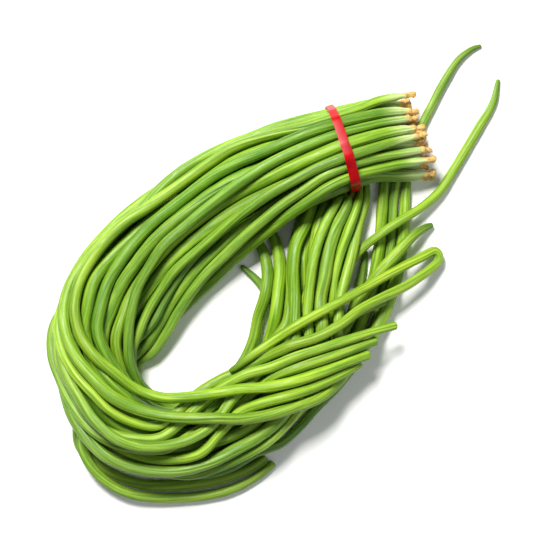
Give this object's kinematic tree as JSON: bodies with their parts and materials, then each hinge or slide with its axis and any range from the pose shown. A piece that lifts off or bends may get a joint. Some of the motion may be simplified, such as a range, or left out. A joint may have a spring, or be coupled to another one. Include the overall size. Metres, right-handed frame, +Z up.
{
  "type": "yardlong bean bunch",
  "caption": "Long thin green bean pods tied near their stalks with a flat rubber band, lying in one loop with their tips fanned out.",
  "frame": {"origin": "under the centre of the bunch's box, on the surface that it lies on", "axes": "+Z up from that surface; +X to the side that the stalk ends point to; the loop bends round the far end of -X"},
  "size_m": [0.2842, 0.2892, 0.0477],
  "materials": {
    "pod_skin": "satin green pod skin, paler at the shoulders and tan at the picked stalk ends",
    "red_rubber": "smooth glossy red"
  },
  "bodies": {
    "root": {"pod_01": "pod_skin", "pod_02": "pod_skin", "pod_03": "pod_skin", "pod_04": "pod_skin", "pod_05": "pod_skin", "pod_06": "pod_skin", "pod_07": "pod_skin", "pod_08": "pod_skin", "pod_09": "pod_skin", "pod_10": "pod_skin", "pod_11": "pod_skin", "pod_12": "pod_skin", "pod_13": "pod_skin", "pod_14": "pod_skin", "pod_15": "pod_skin", "pod_16": "pod_skin", "pod_17": "pod_skin", "pod_18": "pod_skin", "pod_19": "pod_skin", "pod_20": "pod_skin", "pod_21": "pod_skin", "pod_22": "pod_skin", "pod_23": "pod_skin", "pod_24": "pod_skin", "pod_25": "pod_skin", "pod_26": "pod_skin", "pod_27": "pod_skin", "pod_28": "pod_skin", "pod_29": "pod_skin", "pod_30": "pod_skin", "rubber_band": "red_rubber"}
  },
  "joints": []
}
